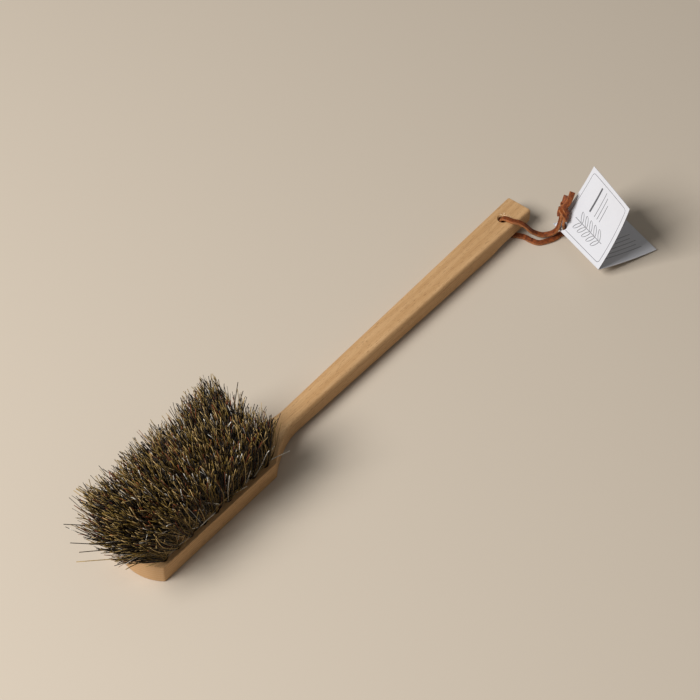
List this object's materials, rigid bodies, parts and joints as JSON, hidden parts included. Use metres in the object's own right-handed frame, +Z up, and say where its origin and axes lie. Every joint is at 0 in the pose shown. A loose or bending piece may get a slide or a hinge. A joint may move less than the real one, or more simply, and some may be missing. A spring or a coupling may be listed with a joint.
{
  "type": "boot brush",
  "caption": "Boot brush with a long flared beech handle, splayed plant-fibre tufts on a rounded head, and a leather hanging loop that carries a folded card tag.",
  "frame": {"origin": "middle of the flat back of the head, on the surface that the brush lies on", "axes": "+X along the brush to the handle tip, +Y to the far side, +Z up out of the bristles"},
  "size_m": [0.5967, 0.1583, 0.0701],
  "materials": {
    "beech": "satin",
    "bristle_fibre": "matte",
    "anchor_wire": "satin",
    "lace_leather": "satin",
    "tag_card": "matte"
  },
  "bodies": {
    "brush": {"beech_board": "beech", "tuft_near_1": "bristle_fibre", "tuft_near_2": "bristle_fibre", "tuft_near_3": "bristle_fibre", "tuft_near_4": "bristle_fibre", "tuft_near_5": "bristle_fibre", "tuft_near_6": "bristle_fibre", "tuft_near_7": "bristle_fibre", "tuft_near_8": "bristle_fibre", "tuft_near_9": "bristle_fibre", "tuft_middle_1": "bristle_fibre", "tuft_middle_2": "bristle_fibre", "tuft_middle_3": "bristle_fibre", "tuft_middle_4": "bristle_fibre", "tuft_middle_5": "bristle_fibre", "tuft_middle_6": "bristle_fibre", "tuft_middle_7": "bristle_fibre", "tuft_middle_8": "bristle_fibre", "tuft_middle_9": "bristle_fibre", "tuft_far_1": "bristle_fibre", "tuft_far_2": "bristle_fibre", "tuft_far_3": "bristle_fibre", "tuft_far_4": "bristle_fibre", "tuft_far_5": "bristle_fibre", "tuft_far_6": "bristle_fibre", "tuft_far_7": "bristle_fibre", "tuft_far_8": "bristle_fibre", "tuft_far_9": "bristle_fibre", "anchor_near_1": "anchor_wire", "anchor_near_2": "anchor_wire", "anchor_near_3": "anchor_wire", "anchor_near_4": "anchor_wire", "anchor_near_5": "anchor_wire", "anchor_near_6": "anchor_wire", "anchor_near_7": "anchor_wire", "anchor_near_8": "anchor_wire", "anchor_near_9": "anchor_wire", "anchor_middle_1": "anchor_wire", "anchor_middle_2": "anchor_wire", "anchor_middle_3": "anchor_wire", "anchor_middle_4": "anchor_wire", "anchor_middle_5": "anchor_wire", "anchor_middle_6": "anchor_wire", "anchor_middle_7": "anchor_wire", "anchor_middle_8": "anchor_wire", "anchor_middle_9": "anchor_wire", "anchor_far_1": "anchor_wire", "anchor_far_2": "anchor_wire", "anchor_far_3": "anchor_wire", "anchor_far_4": "anchor_wire", "anchor_far_5": "anchor_wire", "anchor_far_6": "anchor_wire", "anchor_far_7": "anchor_wire", "anchor_far_8": "anchor_wire", "anchor_far_9": "anchor_wire"},
    "hanging_loop": {"hanging_lace": "lace_leather", "lace_knot": "lace_leather"},
    "tag_back": {"tag_rear_leaf": "tag_card"},
    "tag_front": {"tag_front_leaf": "tag_card"}
  },
  "joints": [
    {"name": "loop_swing", "type": "hinge", "parent": "brush", "child": "hanging_loop", "pos_m": [0.405, 0, 0.009], "axis": [0, 0, 1], "range_deg": [-40, 25]},
    {"name": "tag_swivel", "type": "hinge", "parent": "hanging_loop", "child": "tag_back", "pos_m": [0.4364, -0.04555, 0.0114], "axis": [0, 0, 1], "range_deg": [-20, 8]},
    {"name": "tag_fold", "type": "hinge", "parent": "tag_back", "child": "tag_front", "pos_m": [0.4133, -0.0979, 0.0113], "axis": [-0.3255, -0.9453, 0.0231], "range_deg": [-50, 1], "stiffness_Nm_per_rad": 0.004, "springref_deg": 2.86}
  ]
}
